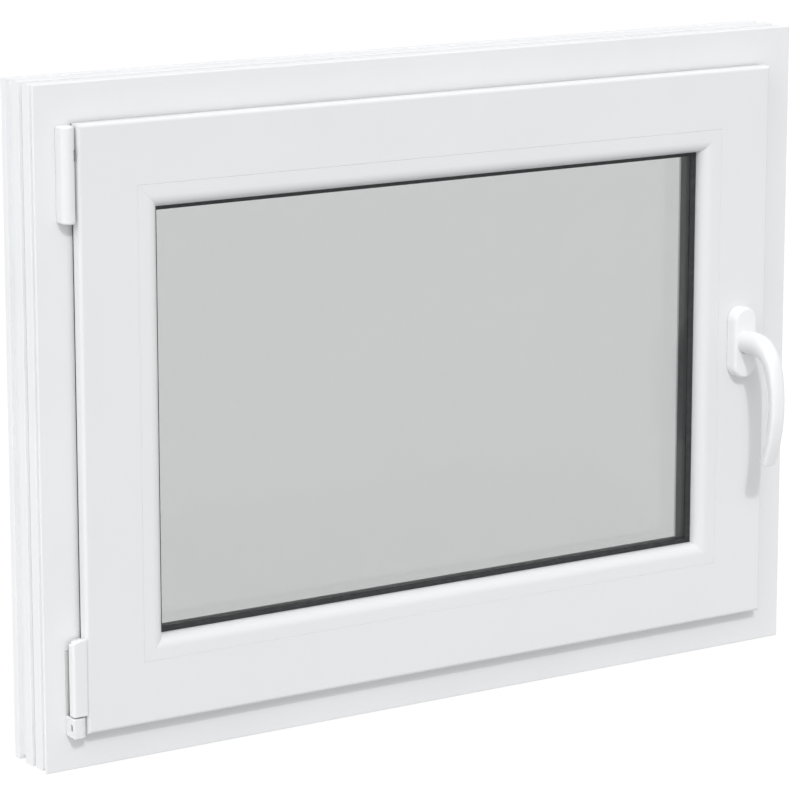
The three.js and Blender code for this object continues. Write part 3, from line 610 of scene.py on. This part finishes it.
SASH_CHAMBERS = [
    rectangle(44, 84.8, -12.4, -3),
    rectangle(63, 87.4, -0.5, 16.5),
    rectangle(63, 87.4, 18.8, 36),
    rectangle(52.5, 60.5, 22, 42.5),
    rectangle(63, 95, 38.6, 42.5),
]
SCREW_RISE = 21.5
SPINDLE_HOLE = 6.5
SCREW_HOLE = 5
GEAR_ROOM = (0.8, 17.2)         # the gearbox pocket's depths


def circle(x, z, radius, steps=28):
    return arc((x, z), radius, 0, 360 - 360 / steps, steps - 1)


pocket_outline = rectangle(HANDLE.x - 16, HANDLE.x + 17, HANDLE.z - 33, HANDLE.z + 33)
gear_pocket = cutter_from(pocket_outline, *GEAR_ROOM, "Y")
HANDLE_HOLES = ((0, SPINDLE_HOLE), (SCREW_RISE, SCREW_HOLE), (-SCREW_RISE, SCREW_HOLE))
handle_holes = [cutter_from(circle(HANDLE.x, HANDLE.z + rise, radius), SASH_FACE - 1, 2, "Y")
                for rise, radius in HANDLE_HOLES]
welded_ring("sash_welded", [SASH_SECTION] + SASH_CHAMBERS, "sash", WELDED_UPVC, SASH_NODES,
            [gear_pocket] + handle_holes)


# ---- Glazing beads: four mitred lengths ----------------------------------------------------------

BEAD_BACK = -2.0
BEAD_OUTER = BEAD_EDGE + 0.05
BEAD_FACE = SASH_FACE + 0.1
NOSE_R = 10.5
NOSE_MIDDLE = (GLASS_EDGE - NOSE_R, -4.4)
# A flat face that rounds off towards the glass, and a foot that clips into the sash.
BEAD_SECTION = rounded(
    [(BEAD_OUTER, BEAD_FACE, 0.25), (100, BEAD_FACE, 0.0)]
    + [(*spot, 0.0) for spot in arc(NOSE_MIDDLE, NOSE_R, -90, -8, 14)]
    + [(GLASS_EDGE, -3.9, 0.0), (GLASS_EDGE, BEAD_BACK, 0.3), (93, BEAD_BACK, 0.4), (93, -7.8, 0.2),
       (87.8, -7.8, 0.2), (87.8, -10.7, 0.2), (BEAD_OUTER, -10.7, 0.2)])
BEAD_CHAMBER = rectangle(95, 103, -12, -4.5)


def bead_mesh(name, number, sections, gap=0.04):
    """One side of a ring, its ends cut at 45 degrees. The sides count from the bottom, anticlockwise."""
    mesh = bpy.data.meshes.new(name)
    work = bmesh.new()
    along = work.loops.layers.uv.new("along")
    length = WIDTH if number % 2 == 0 else HEIGHT
    ends = [[], []]
    for section in sections:
        rows = []
        for inset, depth in section:
            spots = [(inset + gap, inset), (length - inset - gap, inset)]
            rows.append([work.verts.new(at(*side_place(number, run, rise, depth))) for run, rise in spots])
        across = 0.0
        count = len(section)
        for j in range(count):
            step = math.dist(section[j], section[(j + 1) % count]) * MM
            near, far = rows[j], rows[(j + 1) % count]
            face = work.faces.new([near[0], near[1], far[1], far[0]])
            values = (across, across, across + step, across + step)
            for loop, value in zip(face.loops, values):
                place = loop.vert.co
                loop[along].uv = (place.x if number % 2 == 0 else place.z, value)
            across += step
        for end in (0, 1):
            ends[end].append([row[end] for row in rows])
    for outer, *holes in ends:
        edges = []
        for loop in (outer, *holes):
            for a, b in zip(loop, loop[1:] + loop[:1]):
                edges.append(work.edges.get((a, b)) or work.edges.new((a, b)))
        bmesh.ops.triangle_fill(work, use_beauty=True, edges=edges)
    bmesh.ops.recalc_face_normals(work, faces=work.faces)
    work.to_mesh(mesh)
    work.free()
    return mesh


def side_place(number, run, rise, depth):
    """A point along a side of the window: run from its start, rise inwards from the outer edge."""
    if number == 0:
        return run, depth, rise
    if number == 1:
        return WIDTH - rise, depth, run
    if number == 2:
        return WIDTH - run, depth, HEIGHT - rise
    return rise, depth, HEIGHT - run


for number, side in enumerate(SIDES):
    mesh = bead_mesh(f"bead_{side}", number, [BEAD_SECTION, BEAD_CHAMBER])
    bead = new_piece(f"bead_{side}", mesh, "sash", WELDED_UPVC, [f"glazing_bead_{side}"])
    finish_shading(bead, angle=28)


# ---- Hinge covers --------------------------------------------------------------------------------

BACK_GAP = 0.3
WALL = 1.1


def d_outline(radius, back, steps=20):
    """A D round the hinge axis, open towards the frame's face: anticlockwise from its left back corner."""
    return ([(HINGE.x - radius, back)] + arc((HINGE.x, HINGE.y), radius, 180, 360, steps)
            + [(HINGE.x + radius, back)])


def frame_cap(name, rings, hollow, levels, opening, replaces):
    """A moulded cap on the frame: a solid with a hollow out of its back, and an opening through its wall."""
    piece = new_piece(name, loft_mesh(name, rings), "frame",
                      LOOKS["white_hinge_cover"], replaces)
    cut_away(piece, [cutter_from(hollow, *levels, "Z"), opening])
    finish_shading(piece)


stay_low, stay_high = (in_window(corner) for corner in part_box("stay_bearing_cover"))
STAY_COVER_R = (stay_high.x - stay_low.x) / 2
STAY_COVER_END = 2.2            # rounding at its top and bottom
ARM_WAY = (535.0, 545.0)        # heights between which the stay arm's eye passes
BEHIND = 1                      # past the open back
arm_way = rectangle(HINGE.x - 1, HINGE.x + 8, HINGE.y - 5, BEHIND)
frame_cap("stay_cover",
          upright_rings(d_outline(STAY_COVER_R, -BACK_GAP), stay_low.z, stay_high.z,
                        STAY_COVER_END, STAY_COVER_END),
          d_outline(STAY_COVER_R - WALL, BEHIND), (stay_low.z + WALL, stay_high.z - WALL),
          cutter_from(arm_way, *ARM_WAY, "Z"), ["stay_bearing_cover"])

# The block over the bottom hinge's cup, square on the left, with an oval slot in its left face.
block_low, block_high = (in_window(corner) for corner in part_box("corner_bearing_cover"))
REACH = HINGE.y - block_low.y
block_outline = rounded(
    [(block_low.x, HINGE.y - REACH, 1.0), (HINGE.x, HINGE.y - REACH, 0.0)]
    + [(*spot, 0.0) for spot in arc((HINGE.x, HINGE.y), REACH, -85, -5, 10)]
    + [(HINGE.x + REACH, HINGE.y, 0.0), (HINGE.x + REACH, -BACK_GAP, 0.3), (block_low.x, -BACK_GAP, 0.3)])
inner_block = [(block_low.x + WALL, HINGE.y - REACH + WALL), (HINGE.x, HINGE.y - REACH + WALL)]
inner_block += arc((HINGE.x, HINGE.y), REACH - WALL, -85, -5, 10)
inner_block += [(HINGE.x + REACH - WALL, BEHIND), (block_low.x + WALL, BEHIND)]
BLOCK_END = 0.7
SLOT_WIDTH = 3.4
SLOT_HEIGHT = 7.0
slot_y = HINGE.y - 2
slot_z = (block_low.z + block_high.z) / 2
side_slot = [(slot_y + y, slot_z + z) for y, z in stadium(SLOT_WIDTH, SLOT_HEIGHT, 12)]
frame_cap("bearing_block",
          upright_rings(block_outline, block_low.z, block_high.z, BLOCK_END, BLOCK_END),
          inner_block, (block_low.z + WALL, block_high.z - WALL),
          cutter_from(side_slot, block_low.x - 1, block_low.x + 2, "X"), ["corner_bearing_cover"])

# The sleeve over the bottom hinge's barrel: square against the sash, rounded at front left, sloped on top.
sleeve_low, sleeve_high = (in_window(corner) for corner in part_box("corner_hinge_cover"))
FRONT_ROUNDING = 2.6
SLEEVE_END = 0.5
BARREL = 6.28
BARREL_WAY = 4.9                # radius of the hole for the metal barrel
sleeve_outline = rounded(
    [(sleeve_low.x, sleeve_low.y, FRONT_ROUNDING), (sleeve_high.x, sleeve_low.y, 0.8),
     (sleeve_high.x, HINGE.y + BARREL, 0.8)]
    + [(*spot, 0.0) for spot in arc((HINGE.x, HINGE.y), BARREL, 90, 180, 12)])
hole_heights = (sleeve_low.z - 1, in_window(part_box("corner_hinge")[1]).z + 0.4)


def roof(x, y):
    """How far the sleeve's top lies below its highest point. It falls off to the left and the back."""
    return max(0.0, (HINGE.x + 1 - x) * 0.55) + max(0.0, (y - sleeve_low.y - 3) * 0.25)


strap_way = rectangle(HINGE.x - 3, HINGE.x + 9, HINGE.y + 1, HINGE.y + 8)
sleeve_rings = upright_rings(sleeve_outline, sleeve_low.z, sleeve_high.z, SLEEVE_END, SLEEVE_END, roof)
sleeve = new_piece("hinge_sleeve", loft_mesh("hinge_sleeve", sleeve_rings), "sash",
                   LOOKS["white_hinge_cover"], ["corner_hinge_cover"])
cut_away(sleeve, [cutter_from(circle(HINGE.x, HINGE.y, BARREL_WAY), *hole_heights, "Z"),
                  cutter_from(strap_way, *hole_heights, "Z")])
finish_shading(sleeve)


# ---- Handle --------------------------------------------------------------------------------------

rosette_low, rosette_high = (in_window(corner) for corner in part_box("rosette_cover"))
ROSETTE = stadium(rosette_high.x - rosette_low.x, rosette_high.z - rosette_low.z)
ROSETTE_DEPTH = rosette_high.y - rosette_low.y
NECK_HOLE = 10.15
COVER_WALL = 1.6


def rosette_ring(inwards, forward):
    """The rosette's outline moved inwards, and forward from its back."""
    return [(HANDLE.x + x, rosette_high.y - forward, HANDLE.z + z) for x, z in shrunk(ROSETTE, inwards)]


EDGE_IN = 3.1
EDGE_RISE = 5.0
EDGE_STEPS = 8


def towards_hole(share, forward):
    """A ring between the rosette's rounded edge (share 0) and the neck's round hole (share 1)."""
    ring = []
    for x, z in shrunk(ROSETTE, EDGE_IN + 0.05):
        angle = math.atan2(z, x)
        near = (NECK_HOLE * math.cos(angle), NECK_HOLE * math.sin(angle))
        spot = [a + (b - a) * share for a, b in zip((x, z), near)]
        ring.append((HANDLE.x + spot[0], rosette_high.y - forward, HANDLE.z + spot[1]))
    return ring


INNER_FACE = ROSETTE_DEPTH - COVER_WALL
# Up the outside, over the face to the neck's hole, through it, and back down the inside.
rosette_rings = [rosette_ring(COVER_WALL, 0), rosette_ring(0.35, 0), rosette_ring(0.0, 0.4)]
for k in range(EDGE_STEPS + 1):
    angle = math.radians(90 * k / EDGE_STEPS)
    forward = ROSETTE_DEPTH - EDGE_RISE + EDGE_RISE * math.sin(angle)
    rosette_rings.append(rosette_ring(EDGE_IN * (1 - math.cos(angle)), forward))
rosette_rings += [towards_hole(share, ROSETTE_DEPTH) for share in (0.1, 0.5, 0.9, 0.97)]
rosette_rings += [towards_hole(1.0, ROSETTE_DEPTH - 0.4), towards_hole(1.0, INNER_FACE)]
rosette_rings += [towards_hole(share, INNER_FACE) for share in (0.5, 0.0)]
rosette_rings += [rosette_ring(COVER_WALL + 1.5, ROSETTE_DEPTH - 3),
                  rosette_ring(COVER_WALL, ROSETTE_DEPTH - 5), rosette_ring(COVER_WALL, 0)]
rosette = new_piece("rosette", loft_mesh("rosette", rosette_rings, False, False), "sash",
                    LOOKS["white_handle_enamel"], ["rosette_cover"])
finish_shading(rosette, angle=40)

# The lever: a round neck that turns down into a flat grip. Each row is the centre's depth and height from the
# handle's axis, the half width, the half thickness, and how square the section is (2 is round).
LEVER_ROWS = [
    (-18.8, 0.0, 9.8, 9.8, 2.0),
    (-26.2, 0.0, 9.8, 9.8, 2.0),
    (-29.5, 0.9, 10.1, 10.7, 2.0),
    (-35.0, 1.3, 10.2, 11.2, 2.0),
    (-41.0, 1.2, 10.1, 11.3, 2.0),
    (-48.0, 0.7, 9.9, 11.1, 2.05),
    (-55.0, -1.5, 9.6, 10.4, 2.1),
    (-61.2, -5.6, 9.2, 9.1, 2.2),
    (-66.2, -11.6, 8.8, 7.8, 2.4),
    (-69.9, -19.5, 8.4, 6.6, 2.6),
    (-72.6, -29.0, 8.1, 5.7, 2.9),
    (-74.5, -40.0, 7.9, 5.1, 3.1),
    (-75.2, -51.0, 7.8, 4.8, 3.2),
    (-75.0, -62.0, 7.75, 4.75, 3.3),
    (-73.8, -73.5, 7.75, 4.75, 3.3),
    (-71.4, -86.0, 7.75, 4.75, 3.3),
    (-67.9, -98.0, 7.7, 4.75, 3.3),
    (-63.9, -109.3, 7.6, 4.65, 3.3),
]
LEVER_POINTS = 44
LEVER_END = 1.8                 # rounding of the free end's edge
SPINDLE_HALF = 3.8
SPINDLE_DEPTHS = (-42, -10)


def catmull_rom(p, q, r, s, t):
    """A number between q and r, on the smooth curve through all four."""
    square = (2 * p - 5 * q + 4 * r - s) * t * t
    cube = (3 * q - p - 3 * r + s) * t ** 3
    return 0.5 * (2 * q + (r - p) * t + square + cube)


def smooth_rows(rows, between=4):
    """More rows on a smooth curve through the given ones."""
    made = []
    last = len(rows) - 1
    for i in range(last):
        nearby = [rows[max(0, min(last, i + k))] for k in (-1, 0, 1, 2)]
        for k in range(between):
            made.append(tuple(catmull_rom(*four, k / between) for four in zip(*nearby)))
    made.append(rows[-1])
    return made


def lever_ring(centre, direction, half_width, half_thickness, power, inwards=0.0):
    """A squared ellipse across the lever's direction (depth, height)."""
    across = (-direction[1], direction[0])
    ring = []
    for k in range(LEVER_POINTS):
        angle = 2 * math.pi * k / LEVER_POINTS
        c, s = math.cos(angle), math.sin(angle)
        u = (half_width - inwards) * math.copysign(abs(c) ** (2 / power), c)
        v = (half_thickness - inwards) * math.copysign(abs(s) ** (2 / power), s)
        ring.append((HANDLE.x + u, centre[0] + across[0] * v, HANDLE.z + centre[1] + across[1] * v))
    return ring


def lever_rings():
    rows = smooth_rows(LEVER_ROWS)
    rings = []
    for i, row in enumerate(rows):
        before, after = rows[max(0, i - 1)], rows[min(len(rows) - 1, i + 1)]
        direction = Vector((after[0] - before[0], after[1] - before[1])).normalized()
        rings.append(lever_ring(row[:2], direction, row[2], row[3], row[4]))
    end = Vector(rows[-1][:2])
    for inwards, rise in edge_rounding(LEVER_END)[1:]:
        spot = end + direction * rise
        rings.append(lever_ring(spot, direction, rows[-1][2], rows[-1][3], rows[-1][4], inwards))
    return rings


lever = new_piece("lever", loft_mesh("lever", lever_rings()), "handle",
                  LOOKS["white_handle_enamel"], ["handle_lever"])
spindle_hole = rectangle(HANDLE.x - SPINDLE_HALF, HANDLE.x + SPINDLE_HALF,
                         HANDLE.z - SPINDLE_HALF, HANDLE.z + SPINDLE_HALF)
cut_away(lever, [cutter_from(spindle_hole, *SPINDLE_DEPTHS, "Y")])
finish_shading(lever, angle=40)


# ---- Stage, light and camera ---------------------------------------------------------------------

def glowing_white():
    """White that glows of itself, so shadows on it are faint."""
    look = Look("pale_floor", (0.12, 0.12, 0.12), Specular_IOR_Level=0.1,
                Emission_Color=(1.0, 1.0, 1.0, 1.0), Emission_Strength=0.88)
    look.tint(look.remap(look.noise(0.4, 2), 0.4, 0.7, 0.0, 0.15), (0.11, 0.11, 0.11))
    look.gloss(look.remap(look.noise(0.1, 2), 0.3, 0.7, 0.8, 0.9))
    return look.material


def pale_studio():
    """A round floor with a wall at its rim. Neither gives diffuse light to the window, and the wall
    casts no shadow and shows in no reflection."""
    radius, height, sides = 30.0, 30.0, 64
    angles = [math.tau * i / sides for i in range(sides)]
    low = [(radius * math.cos(a), radius * math.sin(a), 0.0) for a in angles]
    high = [(x, y, height) for x, y, _ in low]
    wall_faces = [(i, (i + 1) % sides, (i + 1) % sides + sides, i + sides) for i in range(sides)]
    floor_faces = [tuple(range(sides))]
    white = glowing_white()
    for name, points, faces in (("floor", low, floor_faces), ("wall", low + high, wall_faces)):
        mesh = bpy.data.meshes.new(name)
        mesh.from_pydata(points, [], faces)
        mesh.materials.append(white)
        stage = bpy.data.objects.new(name, mesh)
        bpy.context.scene.collection.objects.link(stage)
        stage.visible_diffuse = False
        stage.visible_glossy = name == "floor"
        stage.visible_shadow = name == "floor"


def soft_sun(name, towards, strength, softness):
    """A distant light, given the direction towards it and its angular size in degrees."""
    data = bpy.data.lights.new(name, "SUN")
    data.energy = strength
    data.angle = math.radians(softness)
    lamp = bpy.data.objects.new(name, data)
    lamp.rotation_euler = (-Vector(towards)).to_track_quat("-Z", "Y").to_euler()
    bpy.context.scene.collection.objects.link(lamp)


def white_world(above, below):
    """A white surround, a little brighter above than below."""
    world = bpy.data.worlds.new("studio")
    world.use_nodes = True
    tree = world.node_tree
    background = tree.nodes["Background"]
    background.inputs["Color"].default_value = (1.0, 1.0, 1.0, 1.0)
    place = tree.nodes.new("ShaderNodeTexCoord")
    parts = tree.nodes.new("ShaderNodeSeparateXYZ")
    share = tree.nodes.new("ShaderNodeMapRange")
    share.inputs["From Min"].default_value = -1.0
    share.inputs["To Min"].default_value = below
    share.inputs["To Max"].default_value = above
    tree.links.new(place.outputs["Generated"], parts.inputs["Vector"])
    tree.links.new(parts.outputs["Z"], share.inputs["Value"])
    tree.links.new(share.outputs["Result"], background.inputs["Strength"])
    bpy.context.scene.world = world


PITCH = 11.54                   # downwards, in degrees
HEADING = 32.37                 # from straight ahead to the right


def photo_camera():
    data = bpy.data.cameras.new("camera")
    data.sensor_width = 36
    data.lens = 160.7
    data.shift_y = -0.08
    camera = bpy.data.objects.new("camera", data)
    camera.location = (-1.721, -2.6855, 0.9896)
    camera.rotation_euler = (math.radians(90 - PITCH), 0, -math.radians(HEADING))
    bpy.context.scene.collection.objects.link(camera)
    bpy.context.scene.camera = camera


pale_studio()
FRONT_LEFT = (-0.285, -0.715, 0.62)
white_world(above=0.80, below=0.50)
soft_sun("key", FRONT_LEFT, 0.74, 3)
soft_sun("fill", FRONT_LEFT, 0.47, 18)
soft_sun("side", (-0.78, 0.0, 0.62), 1.12, 60)
photo_camera()
bpy.context.scene.view_settings.view_transform = "Standard"
